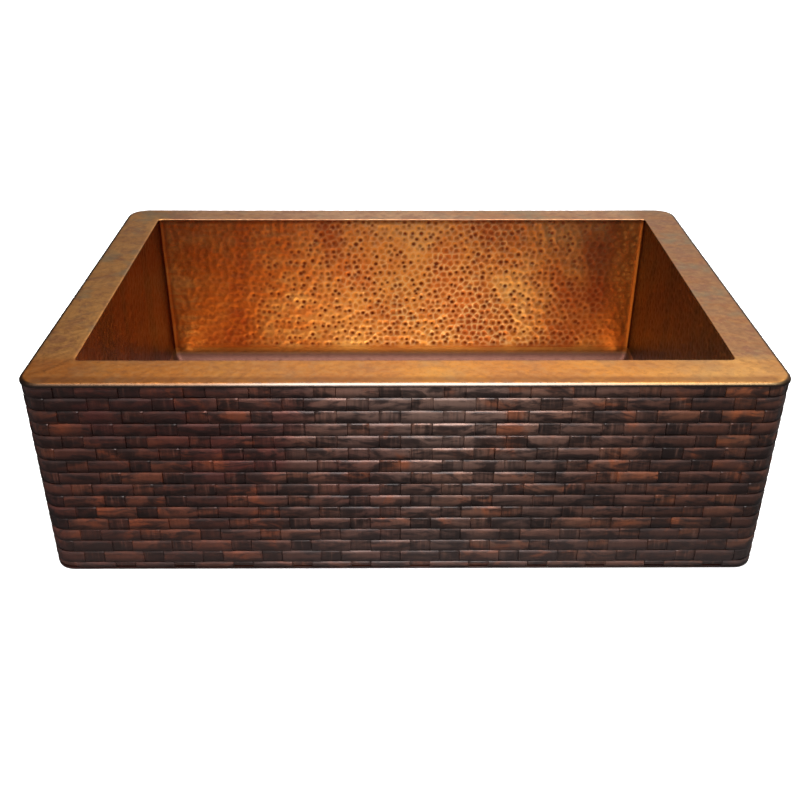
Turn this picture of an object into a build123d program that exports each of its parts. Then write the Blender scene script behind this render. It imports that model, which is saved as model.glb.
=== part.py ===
"""Farmhouse apron-front kitchen sink in hammered copper, with a basket strainer in its drain.

Frame: X runs left to right, Y from the apron to the back, Z up. The origin is the centre of
the rim's top face, so the rim is at z = 0 and everything else hangs below it. Millimetres.

The sink is folded and welded from copper sheet: four mitred rim strips, four bowl walls, a
floor pan that falls to the drain, and a basket-woven apron on a backing sheet. The strainer's
flange, cup and outlet are brazed together and clamped through the pan by a nut. Its basket and
drop-centre post lift out.
"""

import os
from math import cos, hypot, pi, sin

from build123d import *

INCH = 25.4

# Whole sink
width = 33 * INCH
depth = 22 * INCH
height = 10 * INCH
sheet = 2.0
corner_radius = 1 * INCH

# Rim: a flat ledge, turned down at its outer edge and into the bowl at its inner edge
lip_height = 4.7
lip_over_weave = 4.1
lip_bend = 3.5
collar_height = 18.0
collar_bend = 2.6
mitre_reach = 100.0

# Bowl
bowl_width = 29 * INCH
bowl_depth_y = 18 * INCH
bowl_shift = 5.0
bowl_drop = 9.5 * INCH
cove = 20.0
pan_upstand = 24.0
floor_fall = 5.0
floor_inset = 30.0
dish_side = 140.0

# Welds on the outside of the bowl
bead_proud = 1.4
bead_width = 5.0

# Apron weave: straps passed over and under upright stakes, in layers inset from the rim's edge
strap = 1.5
over_inset = 1.5
stake_inset = over_inset + strap
under_inset = stake_inset + strap
backing_inset = under_inset + strap
backing_sheet = 1.2
stake_pitch = 1.375 * INCH
stake_width = 24.0
strap_flat = stake_width + 0.6
course_pitch = 16.0
course_gap = 0.3
first_course_top = 2.5
course_count = 16
return_depth = 3.25 * INCH
hem_radius = 3.4
hem_top = height - 3.6
hem_flange = 20.0
end_trim = 1.5

# Drain and basket strainer. Each drop is measured down from the top of the strainer's flange
drain_hole_radius = 3.5 * INCH / 2
seat_radius = 59.0
seat_recess = 3.0
flange_radius = 4.5 * INCH / 2
flange_sheet = 2.0
putty_sheet = 1.0
thread_radius = 43.6
thread_drop = 24.0
throat_radius = 41.8
ledge_drop = 12.0
cup_radius = 38.3
cup_wall = 1.9
cone_top_drop = 47.0
cone_foot_drop = 56.0
neck_radius = 20.5
outlet_radius = 1.875 * INCH / 2
outlet_drop = 78.0
gasket_radius = 54.0
gasket_sheet = 3.0
friction_sheet = 1.2
thread_gap = 0.1
seal_flats = 24
nut_height = 11.0
nut_width = 104.0

# Basket and its drop-centre post, shown dropped so that the stopper closes the drain
basket_rim_radius = 41.2
basket_radius = 35.5
basket_drop = 38.0
basket_sheet = 1.0
slot_count = 12
slot_size = (4.0, 13.0)
drill_rings = ((8, 12.5), (14, 21.5))
drill_radius = 2.4
post_radius = 3.0
post_gap = 0.1
stopper_drop = 50.0
stopper_height = 3.5
stopper_gap = 0.3
shoulder_radius = 9.0
shoulder_sheet = 1.2
stem_nut_width = 13.0
stem_nut_height = 2.4
clip_width = 10.0
clip_gap = 0.4
knob_radius = 8.5
knob_neck_radius = 4.5
knob_rise = 20.0
knob_height = 9.5

# Heights that follow
floor_z = -bowl_drop
dish_z = floor_z - floor_fall
seat_z = dish_z - seat_recess
pan_top_z = floor_z + pan_upstand
flange_z = dish_z
ledge_z = flange_z - ledge_drop
basket_floor_z = flange_z - basket_drop
stopper_z = flange_z - stopper_drop
stopper_foot_z = stopper_z - stopper_height
knob_z = basket_floor_z + knob_rise
thread_bore = thread_radius + thread_gap

# Where the woven returns end, behind the front of the rim
weave_rear = -depth / 2 + return_depth + end_trim


def rim_outline(inset=0.0):
    """The sink's outer edge in plan, moved inwards by inset."""
    return RectangleRounded(width - 2 * inset, depth - 2 * inset, corner_radius - inset)


def bowl_outline(outset=0.0):
    """The bowl's inner face in plan, moved outwards by outset. Its corners are mitred sheet."""
    return Pos(0, bowl_shift) * Rectangle(bowl_width + 2 * outset, bowl_depth_y + 2 * outset)


def slab(outline, top, bottom):
    """An outline made solid between two heights."""
    return Pos(0, 0, bottom) * extrude(outline, top - bottom)


def solid_of(shape):
    """The single solid of a boolean's result."""
    solids = shape.solids()
    assert len(solids) == 1, f"{len(solids)} solids where one was expected"
    return solids[0]


def mitred(side):
    """A tall prism over one side of the sink, bounded by 45 degree mitres at the bowl's corners."""
    corners = {}
    for sx in (-1, 1):
        for sy in (-1, 1):
            corner = Vector(sx * bowl_width / 2, bowl_shift + sy * bowl_depth_y / 2)
            diagonal = Vector(sx, sy) * mitre_reach
            corners[sx, sy] = (corner + diagonal, corner - diagonal)
    ends = {
        "front": ((-1, -1), (1, -1)),
        "back": ((1, 1), (-1, 1)),
        "left": ((-1, 1), (-1, -1)),
        "right": ((1, -1), (1, 1)),
    }[side]
    a, b = corners[ends[0]], corners[ends[1]]
    prism = Polyline(a[0], a[1], b[1], b[0], close=True)
    return slab(make_face(prism), 1.0, -height)


def level_face(shape, z):
    """The flat face of a shape that lies at one height."""
    return shape.faces().filter_by(Plane.XY).filter_by_position(Axis.Z, z - 0.01, z + 0.01)[0]


def rim_ring():
    """The whole rim before it is cut into strips: ledge, outer lip and inner collar."""
    over_weave = Pos(0, weave_rear - depth) * Rectangle(2 * width, 2 * depth)
    ring = slab(rim_outline() - bowl_outline(), 0, -sheet)
    ring += slab(rim_outline() - rim_outline(sheet), 0, -lip_height)
    ring -= slab(over_weave, -lip_over_weave, -lip_height)
    ring += slab(bowl_outline(sheet) - bowl_outline(), 0, -collar_height)
    ring = solid_of(ring)
    ring = fillet(level_face(ring, 0).outer_wire().edges(), lip_bend)
    return fillet(level_face(ring, 0).inner_wires()[0].edges(), collar_bend)


def wall_tube():
    """The four bowl walls before they are cut apart, between the collar and the pan."""
    return slab(bowl_outline(sheet) - bowl_outline(), -collar_height, pan_top_z)


def pan_profile(span, outset):
    """Half of the pan's section across a bowl of this span: upstand, cove, margin, fall, dish."""
    wall, low = span / 2 + outset, floor_z - outset
    radius = cove + outset
    middle = radius * (1 - cos(pi / 4))
    upstand = Line((wall, pan_top_z), (wall, low + radius))
    bend = ThreePointArc((wall, low + radius), (wall - middle, low + middle), (wall - radius, low))
    floor = Polyline(
        (wall - radius, low),
        (span / 2 - floor_inset, low),
        (dish_side / 2, dish_z - outset),
        (0, dish_z - outset),
        (0, pan_top_z),
        (wall, pan_top_z),
    )
    half = make_face([upstand, bend, *floor.edges()])
    return half + mirror(half, Plane.YZ)


def pan_body(outset):
    """The pan's space, grown by outset: where its two sections, drawn out, meet in its outline."""
    across = Plane.XZ * pan_profile(bowl_width, outset)
    along = Plane.YZ * Pos(bowl_shift, 0) * pan_profile(bowl_depth_y, outset)
    body = extrude(across, width, both=True) & extrude(along, width, both=True)
    seat = Pos(0, bowl_shift) * Circle(seat_radius + outset)
    return body + slab(seat, dish_z, seat_z - outset)


def floor_pan():
    """Floor with upturned edges, falling to a recessed seat round the drain hole."""
    pan = pan_body(sheet) - pan_body(0)
    hole = Pos(0, bowl_shift) * Circle(drain_hole_radius)
    return solid_of(pan - slab(hole, dish_z, -height))


def ring_bead(z):
    """A flattened weld bead round the bowl's outside at one height."""
    half = bead_width / 2
    return slab(bowl_outline(sheet + bead_proud) - bowl_outline(sheet), z + half, z - half)


def corner_beads():
    """The weld bead on the outside of each upright corner, between the two ring beads."""
    filled = slab(bowl_outline(sheet), 0, -height)
    top = -collar_height - bead_width / 2
    bottom = pan_top_z + bead_width / 2
    beads = []
    for sx in (-1, 1):
        for sy in (-1, 1):
            x = sx * (bowl_width / 2 + sheet)
            y = bowl_shift + sy * (bowl_depth_y / 2 + sheet)
            rod = slab(Pos(x, y) * RegularPolygon(bead_width / 2, 8), top, bottom)
            beads.append(solid_of(rod - filled))
    return Compound(beads)


# The apron's plan path: the front, a quarter turn at each end, and a short return.
# A point on it is (s, inset): s runs along the stakes' mid-line from the sink's centre.
path_inset = stake_inset + strap / 2
turn_radius = corner_radius - path_inset
front_half = width / 2 - corner_radius
turn_end = front_half + turn_radius * pi / 2
path_end = turn_end + return_depth - corner_radius


def on_path(s, inset):
    """The plan point at distance s along the apron and inset from the rim's outer edge."""
    side = 1 if s >= 0 else -1
    s = abs(s)
    if s <= front_half:
        x, y = s, -depth / 2 + inset
    elif s <= turn_end:
        angle = (s - front_half) / turn_radius
        r = corner_radius - inset
        x = front_half + r * sin(angle)
        y = -depth / 2 + corner_radius - r * cos(angle)
    else:
        x = width / 2 - inset
        y = -depth / 2 + corner_radius + (s - turn_end)
    return Vector(side * x, y)


def path_edges(stations):
    """Lines through (s, inset) stations, and arcs where a stretch of one inset is in a turn."""
    edges = []
    bends = [-turn_end, -front_half, front_half, turn_end]
    for (s0, n0), (s1, n1) in zip(stations, stations[1:]):
        cuts = sorted((b for b in bends if min(s0, s1) < b < max(s0, s1)), reverse=s1 < s0)
        marks = [s0, *cuts, s1]
        for a, b in zip(marks, marks[1:]):
            inset_a = n0 + (n1 - n0) * (a - s0) / (s1 - s0)
            inset_b = n0 + (n1 - n0) * (b - s0) / (s1 - s0)
            middle = (a + b) / 2
            start, end = on_path(a, inset_a), on_path(b, inset_b)
            if front_half < abs(middle) < turn_end and n0 == n1:
                through = on_path(middle, n0)
                edges.append(ThreePointArc(start, through, end))
            else:
                edges.append(Line(start, end))
    return edges


def ribbon(stations, thickness):
    """The plan face of a strap whose outer side follows the stations."""
    inner = [(s, n + thickness) for s, n in reversed(stations)]
    edges = path_edges(stations)
    edges.append(Line(on_path(*stations[-1]), on_path(*inner[0])))
    edges += path_edges(inner)
    edges.append(Line(on_path(*inner[-1]), on_path(*stations[0])))
    return make_face(Wire(edges))


def stake_stations():
    """Each stake's number and its centre's distance along the path. Stake 0 is right of centre."""
    half_count = int((path_end - stake_width / 2) / stake_pitch + 0.5)
    return [(k, (k + 0.5) * stake_pitch) for k in range(-half_count, half_count)]


def weaver_face(parity):
    """A horizontal strap that passes in front of every second stake and behind the others."""
    stations = []
    for k, s in stake_stations():
        inset = over_inset if (k + parity) % 2 == 0 else under_inset
        stations += [(s - strap_flat / 2, inset), (s + strap_flat / 2, inset)]
    stations[0] = (-path_end, stations[0][1])
    stations[-1] = (path_end, stations[-1][1])
    return ribbon(stations, strap)


def course_span(row):
    """Top and bottom of a course of the weave. The lip and the hem trim the first and last."""
    top = max(first_course_top + row * course_pitch, lip_over_weave)
    bottom = min(first_course_top + (row + 1) * course_pitch - course_gap, hem_top)
    return -top, -bottom


def weavers(parity):
    """The horizontal straps that share one phase of the weave: every second course."""
    face = weaver_face(parity)
    return Compound([slab(face, *course_span(row)) for row in range(parity, course_count, 2)])


def stakes():
    """The upright straps that the horizontal ones are woven round, from the lip's bend down."""
    half = stake_width / 2
    made = []
    for _, s in stake_stations():
        face = ribbon([(s - half, stake_inset), (s + half, stake_inset)], strap)
        made.append(slab(face, -lip_bend, -hem_top))
    return Compound(made)


def backing(start, end):
    """A stretch of the plain sheet behind the weave, welded under the rim, standing on the hem."""
    face = ribbon([(start, backing_inset), (end, backing_inset)], backing_sheet)
    return slab(face, -sheet, -height + sheet)


def apron_hem():
    """The rounded lower edge of the apron, turned in to a flat flange that it stands on."""
    outer = slab(rim_outline(over_inset), -hem_top, -height)
    outer = fillet(level_face(outer, -height).edges(), hem_radius)
    inner = slab(rim_outline(over_inset + sheet), -hem_top, -height + sheet)
    middle = slab(rim_outline(over_inset + hem_flange), 0, -2 * height)
    behind = Pos(0, return_depth) * slab(Rectangle(2 * width, depth), 0, -2 * height)
    return solid_of(outer - inner - middle - behind)


def apron_end(side):
    """The folded strip that closes the woven edge at the rear of one return."""
    deep = backing_inset + backing_sheet - over_inset
    x = side * (width / 2 - over_inset - deep / 2)
    y = weave_rear - end_trim / 2
    return slab(Pos(x, y) * Rectangle(deep, end_trim), -lip_over_weave, -hem_top)


def turned(points):
    """A closed (radius, z) outline turned round the drain's axis."""
    outline = make_face(Polyline(*[(r, 0, z) for r, z in points], close=True))
    return Pos(0, bowl_shift) * revolve(outline, Axis.Z)


def seal(radius, bore, top, thick):
    """A flat soft ring under the flange or the nut, cut with flats because it is never seen."""
    ring = RegularPolygon(radius, seal_flats) - RegularPolygon(bore, seal_flats, major_radius=False)
    return slab(Pos(0, bowl_shift) * ring, top, top - thick)


def nut(across_flats, sides, bore, top, thick):
    """A nut of this many sides, with a round bore."""
    outline = RegularPolygon(across_flats / 2, sides, major_radius=False) - Circle(bore)
    return slab(Pos(0, bowl_shift) * outline, top, top - thick)


def strainer_flange():
    """The flat ring that is drawn down on to the pan's recessed seat."""
    top, foot = flange_z, flange_z - flange_sheet
    return turned([(throat_radius, foot), (flange_radius, foot), (flange_radius, top), (throat_radius, top)])


def strainer_body():
    """The cup under the flange, threaded outside, with a ledge for the basket."""
    top, foot = flange_z - flange_sheet, flange_z - cone_top_drop
    thread_foot = flange_z - thread_drop
    cup_outer = cup_radius + cup_wall
    return turned(
        [
            (thread_radius, top),
            (throat_radius, top),
            (throat_radius, ledge_z),
            (cup_radius, ledge_z),
            (cup_radius, foot),
            (cup_outer, foot),
            (cup_outer, thread_foot),
            (thread_radius, thread_foot),
        ]
    )


def strainer_outlet():
    """The cone under the cup, which the stopper closes, and the outlet that takes the tailpiece."""
    top = flange_z - cone_top_drop
    cone_foot = flange_z - cone_foot_drop
    foot = flange_z - outlet_drop
    return turned(
        [
            (cup_radius, top),
            (neck_radius, cone_foot),
            (neck_radius, foot),
            (outlet_radius, foot),
            (outlet_radius, cone_foot - cup_wall),
            (cup_radius + cup_wall, top),
        ]
    )


def around_drain(count, radius, z, tool):
    """Copies of a cutting tool, evenly spaced round the drain's axis."""
    return [Pos(0, bowl_shift) * Rot(0, 0, 360 / count * k) * Pos(radius, 0, z) * tool for k in range(count)]


def basket_cup():
    """The basket's rim, which sits on the strainer's ledge, and its slotted wall."""
    foot, rim = basket_floor_z, ledge_z + thread_gap
    inner = basket_radius - basket_sheet
    cup = turned(
        [
            (inner, foot),
            (basket_radius, foot),
            (basket_radius, rim),
            (basket_rim_radius, rim),
            (basket_rim_radius, rim + basket_sheet),
            (inner, rim + basket_sheet),
        ]
    )
    slot_width, slot_height = slot_size
    slot = Box(basket_sheet * 8, slot_width, slot_height)
    return solid_of(cup - around_drain(slot_count, basket_radius, (foot + rim) / 2, slot))


def basket_floor():
    """The basket's drilled floor, which guides the post."""
    outline = Circle(basket_radius - basket_sheet) - Circle(post_radius + post_gap)
    floor = Pos(0, bowl_shift) * slab(outline, basket_floor_z + basket_sheet, basket_floor_z)
    drill = extrude(RegularPolygon(drill_radius, 8), basket_sheet * 2, both=True)
    for count, ring_radius in drill_rings:
        floor -= around_drain(count, ring_radius, basket_floor_z, drill)
    return solid_of(floor)


def post():
    """The drop-centre post, with the shoulder that its stopper is clamped against."""
    shoulder = stopper_z + shoulder_sheet
    foot = stopper_foot_z - stem_nut_height - 1
    return turned(
        [
            (0, knob_z),
            (post_radius, knob_z),
            (post_radius, shoulder),
            (shoulder_radius, shoulder),
            (shoulder_radius, stopper_z),
            (post_radius, stopper_z),
            (post_radius, foot),
            (0, foot),
        ]
    )


def knob():
    """The turned knob on top of the post: a button on a short neck, to lift by two fingers."""
    button_z = knob_z + knob_height / 2
    return turned(
        [
            (0, knob_z),
            (knob_neck_radius, knob_z),
            (knob_neck_radius, button_z),
            (knob_radius, button_z),
            (knob_radius, knob_z + knob_height),
            (0, knob_z + knob_height),
        ]
    )


def stopper():
    """The rubber stopper, a thick disc whose lower edge comes down on the strainer's cone."""
    slope = (cup_radius - neck_radius) / (cone_foot_drop - cone_top_drop)
    seat_at_foot = cup_radius - slope * (flange_z - cone_top_drop - stopper_foot_z)
    radius = seat_at_foot - stopper_gap * hypot(1, slope)
    return turned(
        [
            (post_radius, stopper_z),
            (radius, stopper_z),
            (radius, stopper_foot_z),
            (post_radius, stopper_foot_z),
        ]
    )


def save(name, shape):
    export_step(shape, f"parts/{name}.step")


os.makedirs("parts", exist_ok=True)

ring, tube = rim_ring(), wall_tube()
for side in ("front", "back", "left", "right"):
    save(f"rim_{side}", solid_of(ring & mitred(side)))
    save(f"bowl_wall_{side}", solid_of(tube & mitred(side)))
save("bowl_floor_pan", floor_pan())
save("collar_weld", ring_bead(-collar_height))
save("pan_weld", ring_bead(pan_top_z))
save("corner_welds", corner_beads())

save("apron_backing", backing(-front_half, front_half))
for side, sign in (("left", -1), ("right", 1)):
    save(f"apron_corner_{side}", backing(*sorted((sign * front_half, sign * turn_end))))
    save(f"apron_return_{side}", backing(*sorted((sign * turn_end, sign * path_end))))
    save(f"apron_end_{side}", apron_end(sign))
save("apron_stakes", stakes())
save("apron_weavers_odd", weavers(0))
save("apron_weavers_even", weavers(1))
save("apron_hem", apron_hem())

putty_top = flange_z - flange_sheet
gasket_top = seat_z - sheet
friction_top = gasket_top - gasket_sheet
save("strainer_flange", strainer_flange())
save("strainer_body", strainer_body())
save("strainer_outlet", strainer_outlet())
save("putty_ring", seal(flange_radius - 1, drain_hole_radius, putty_top, putty_sheet))
save("rubber_gasket", seal(gasket_radius, thread_bore, gasket_top, gasket_sheet))
save("friction_ring", seal(gasket_radius, thread_bore, friction_top, friction_sheet))
save("lock_nut", nut(nut_width, 8, thread_bore, friction_top - friction_sheet, nut_height))

clip_top = basket_floor_z + basket_sheet + clip_gap + basket_sheet
save("basket_cup", basket_cup())
save("basket_floor", basket_floor())
save("post", post())
save("post_knob", knob())
save("stopper", stopper())
save("stem_nut", nut(stem_nut_width, 6, post_radius, stopper_foot_z, stem_nut_height))
save("retaining_clip", nut(clip_width, 6, post_radius, clip_top, basket_sheet))
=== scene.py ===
"""Hammered copper apron-front sink: the finish of every surface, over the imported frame.

Lengths are in millimetres in the frame's own axes, and become metres where a mesh is made.
X runs left to right, Y from the apron to the back, Z up. The rim's top face is at z = 0.
"""

from math import cos, pi, radians, sin

import bpy
import numpy as np
from mathutils import Matrix, Vector


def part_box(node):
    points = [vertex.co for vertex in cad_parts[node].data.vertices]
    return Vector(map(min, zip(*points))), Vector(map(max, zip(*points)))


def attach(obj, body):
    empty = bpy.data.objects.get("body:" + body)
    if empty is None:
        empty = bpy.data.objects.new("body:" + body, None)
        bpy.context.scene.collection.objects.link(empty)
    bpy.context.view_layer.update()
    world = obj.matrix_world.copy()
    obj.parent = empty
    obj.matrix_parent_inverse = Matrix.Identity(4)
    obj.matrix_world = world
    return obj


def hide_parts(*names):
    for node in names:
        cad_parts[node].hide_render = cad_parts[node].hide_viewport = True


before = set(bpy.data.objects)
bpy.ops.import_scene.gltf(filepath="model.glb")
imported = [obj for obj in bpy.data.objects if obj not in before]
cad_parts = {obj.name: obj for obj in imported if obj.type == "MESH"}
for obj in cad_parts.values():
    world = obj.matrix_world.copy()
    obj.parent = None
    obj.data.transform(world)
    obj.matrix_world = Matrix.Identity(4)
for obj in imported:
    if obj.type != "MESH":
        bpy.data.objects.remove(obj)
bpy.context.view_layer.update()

MM = 1000.0


def box_mm(node):
    """A node's lowest and highest corners in millimetres."""
    lo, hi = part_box(node)
    return np.array(lo) * MM, np.array(hi) * MM


# ---- sizes, from the frame

half_width = box_mm("rim_right")[1][0]
_, front_y, collar_z = box_mm("rim_front")[0]
back_y = box_mm("rim_back")[1][1]
bowl_x = box_mm("bowl_wall_right")[0][0]
bowl_front = box_mm("bowl_wall_front")[1][1]
_, bowl_back, pan_top_z = box_mm("bowl_wall_back")[0]
hem_foot_z, hem_top_z = (corner[2] for corner in box_mm("apron_hem"))
weave_rear_y = box_mm("apron_end_left")[1][1]
drain_y = (bowl_front + bowl_back) / 2
bowl_half_y = (bowl_back - bowl_front) / 2

SHEET = 2.0
CORNER = 25.4
LIP_HEIGHT = 4.7
LIP_OVER_WEAVE = 4.1
LIP_BEND = (6.0, 3.8)
COLLAR_BEND = 1.4
BOWL_CORNER = 5.0
COVE = 20.0
FLOOR_Z = -241.3
FLOOR_FALL = 5.0
FLOOR_INSET = 30.0
DISH_HALF = 70.0
SEAT_RADIUS = 59.0
SEAT_RECESS = 3.0
DRAIN_HOLE = 44.45
BEAD_PROUD = 1.4
BEAD_WIDTH = 5.0
BEAD_STEP = 1.2

OVER_INSET = 1.5
STAKE_INSET = 3.0
UNDER_INSET = 4.5
STRAP = 1.5
STAKE_PITCH = 34.925
STAKE_WIDTH = 24.0
COURSE_PITCH = 16.0
FIRST_COURSE_TOP = 2.5
COURSES = 16
OVER_REACH = 22.7
UNDER_REACH = 23.8
BEVEL = 3.0
STRAP_CROWN = 0.22
STRAP_DENT = 0.34

# Point spacing of the hammered sheets
FINE = 1.9
MEDIUM = 2.6
COARSE = 4.4

# A table of blows that repeats, how far each strays, and the ratio of row gap to column gap
BLOW_CYCLE = 64
BLOWS = np.random.default_rng(29).random((BLOW_CYCLE, BLOW_CYCLE, 4))
BLOW_JITTER = 0.7
BLOW_ROW = 0.87


# ---- meshes


def smoothstep(lo, hi, x):
    t = np.clip((x - lo) / (hi - lo), 0, 1)
    return t * t * (3 - 2 * t)


def grid_quads(rows, cols, closed=False):
    """The faces of a grid of points. A closed grid joins its last column to its first."""
    index = np.arange(rows * cols).reshape(rows, cols)
    if closed:
        index = np.hstack([index, index[:, :1]])
    corners = (index[:-1, :-1], index[:-1, 1:], index[1:, 1:], index[1:, :-1])
    return np.stack(corners, axis=-1).reshape(-1, 4)


def point_normals(points, quads):
    corners = points[quads]
    normal = np.cross(corners[:, 2] - corners[:, 0], corners[:, 3] - corners[:, 1])
    total = np.zeros_like(points)
    for k in range(4):
        np.add.at(total, quads[:, k], normal)
    length = np.linalg.norm(total, axis=1, keepdims=True)
    return total / np.maximum(length, 1e-9)


def boundary_edges(quads, count):
    """Directed edges that only one face uses."""
    a = quads.ravel()
    b = np.roll(quads, -1, axis=1).ravel()
    used = a != b
    a, b = a[used].astype(np.int64), b[used].astype(np.int64)
    alone = ~np.isin(a * count + b, b * count + a)
    return a[alone], b[alone]


def thickened(points, normals, quads, thickness):
    """A closed sheet: the surface, its other side at this depth, and the edges between them."""
    n = len(points)
    a, b = boundary_edges(quads, n)
    edge = np.stack([b, a, a + n, b + n], axis=-1)
    both = np.concatenate([points, points - normals * thickness])
    return both, np.concatenate([quads, quads[:, ::-1] + n, edge])


def joined(points, quads, grain):
    """Which points are kept when those that meet become one, and the faces between them."""
    key = np.round(points / grain).astype(np.int64)
    _, first, place = np.unique(key, axis=0, return_index=True, return_inverse=True)
    return first, place.ravel()[quads]


def merged(parts):
    """One mesh from many. Each part is (points, faces, values at the points)."""
    points, quads, values, base = [], [], [], 0
    for part in parts:
        points.append(part[0])
        quads.append(part[1] + base)
        values.append(part[2])
        base += len(part[0])
    return np.concatenate(points), np.concatenate(quads), np.concatenate(values)


def weld(grids, grain=0.02):
    """Joins grids into one surface where their points meet. Each grid is (points, values)."""
    parts = []
    for grid, value in grids:
        flat = grid.reshape(-1, 3)
        parts.append((flat, grid_quads(*grid.shape[:2]), value.reshape(len(flat), -1)))
    points, quads, values = merged(parts)
    first, quads = joined(points, quads, grain)
    return points[first], values[first], quads


def run_along(line):
    """The distance of each point of a line from its start."""
    return np.concatenate([[0], np.cumsum(np.linalg.norm(np.diff(line, axis=0), axis=1))])


def read_at(places, run, line):
    """A line's values at new distances along it."""
    return np.stack([np.interp(places, run, column) for column in line.T], axis=-1)


def make_object(name, points, quads, material, marks=None, sharp=40.0, second=None):
    """A smooth-shaded mesh object. Faces with a repeated corner become triangles.

    second is another material and a flag for each face that takes it.
    """
    mesh = bpy.data.meshes.new(name)
    keep = quads != np.roll(quads, 1, axis=1)
    size = keep.sum(axis=1)
    good = size >= 3
    quads, keep, size = quads[good], keep[good], size[good]
    corners = quads[keep]
    starts = np.concatenate([[0], np.cumsum(size)[:-1]])
    mesh.vertices.add(len(points))
    mesh.vertices.foreach_set("co", (points / MM).astype(np.float32).ravel())
    mesh.loops.add(len(corners))
    mesh.loops.foreach_set("vertex_index", corners.astype(np.int32))
    mesh.polygons.add(len(size))
    mesh.polygons.foreach_set("loop_start", starts.astype(np.int32))
    mesh.polygons.foreach_set("use_smooth", np.ones(len(size), dtype=bool))
    for key, value in (marks or {}).items():
        layer = mesh.attributes.new(key, "FLOAT", "POINT")
        layer.data.foreach_set("value", value.astype(np.float32))
    mesh.update(calc_edges=True)
    mesh.set_sharp_from_angle(angle=radians(sharp))
    mesh.materials.append(material)
    if second:
        mesh.materials.append(second[0])
        mesh.polygons.foreach_set("material_index", second[1][good].astype(np.int32))
    obj = bpy.data.objects.new(name, mesh)
    bpy.context.collection.objects.link(obj)
    return obj


def stand_in(piece, node, body):
    """Shows a piece in place of its CAD node, on that node's body."""
    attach(piece, body)
    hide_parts(node)


# ---- hammer marks


def hammer(u, v, pitch):
    """Depth, dark centre and ridge, each 0 to 1, of the blows round every point of a sheet."""
    row = np.floor(v / (pitch * BLOW_ROW)).astype(int)
    nearest, second = np.full_like(u, 9.0), np.full_like(u, 9.0)
    size, force = np.zeros_like(u), np.zeros_like(u)
    for dr in (-1, 0, 1):
        r = row + dr
        shift = 0.5 * (r & 1)
        for dc in (-1, 0, 1):
            c = np.floor(u / pitch - shift).astype(int) + dc
            blow = BLOWS[r % BLOW_CYCLE, c % BLOW_CYCLE]
            du = u / pitch - (c + shift + 0.5 + (blow[..., 0] - 0.5) * BLOW_JITTER)
            dv = v / pitch - (r + 0.5 + (blow[..., 1] - 0.5) * BLOW_JITTER) * BLOW_ROW
            distance = np.sqrt(du**2 + dv**2)
            closer = distance < nearest
            second = np.where(closer, nearest, np.minimum(second, distance))
            nearest = np.where(closer, distance, nearest)
            size = np.where(closer, blow[..., 2], size)
            force = np.where(closer, blow[..., 3], force)
    depth = (0.5 + 0.5 * force) * np.clip(1 - (nearest / 0.62) ** 2, 0, 1)
    centre = smoothstep(1.3, 0.35, nearest / (0.24 + 0.1 * size)) * (0.25 + 0.75 * force)
    ridge = smoothstep(0.36, 0.02, second - nearest) * (0.35 + 0.65 * size)
    return depth, centre, ridge


def waves(u, v, seed, shortest=70, longest=240):
    """A slow swell of the sheet between 0 and 1."""
    own = np.random.default_rng(seed)
    total = np.zeros_like(u)
    for _ in range(6):
        length = own.uniform(shortest, longest)
        angle, phase = own.uniform(0, pi), own.uniform(0, 2 * pi)
        total += np.sin(2 * pi / length * (u * cos(angle) + v * sin(angle)) + phase)
    return 0.5 + total / 12


def hammered(points, values, quads, depth, swell, pitch, seed):
    """The surface pressed in by its blows, with its marks. Values are (u, v, fade)."""
    u, v, fade = values[:, 0], values[:, 1], values[:, 2]
    blows, centre, ridge = hammer(u + 977.0 * seed, v + 433.0 * seed, pitch)
    normals = point_normals(points, quads)
    middle = smoothstep(360, 190, np.abs(u))
    inward = fade * (depth * (0.55 + 0.45 * middle) * blows + swell * waves(u, v, seed))
    pits, ridges, inner = centre * fade, ridge * fade, 0 * fade
    marks = {
        "pit": np.concatenate([pits, 0.2 * pits]),
        "ridge": np.concatenate([ridges, 0.2 * ridges]),
        "outer": np.concatenate([inner, inner + 1]),
    }
    return points - normals * inward[:, None], normals, marks


# ---- bowl and rim

SIDES = {"front": 0, "right": 1, "back": 2, "left": 3}


def side_path(side, half_x, y_lo, y_hi, radius, count):
    """Even points along one side of a rounded rectangle, from mitre to mitre, anticlockwise."""
    k = SIDES[side]
    x, low, high = half_x - radius, y_lo + radius, y_hi - radius
    corners = [(-x, low), (x, low), (x, high), (-x, high)]
    facing = -pi / 2 + k * pi / 2
    turns = np.linspace(0, pi / 4, 13)
    start = [(corners[k], facing - pi / 4 + turn) for turn in turns]
    end = [(corners[(k + 1) % 4], facing + turn) for turn in turns]
    line = np.array([(c[0] + radius * cos(a), c[1] + radius * sin(a)) for c, a in start + end])
    run = run_along(line)
    return read_at(np.linspace(0, run[-1], count + 1), run, line)


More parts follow.
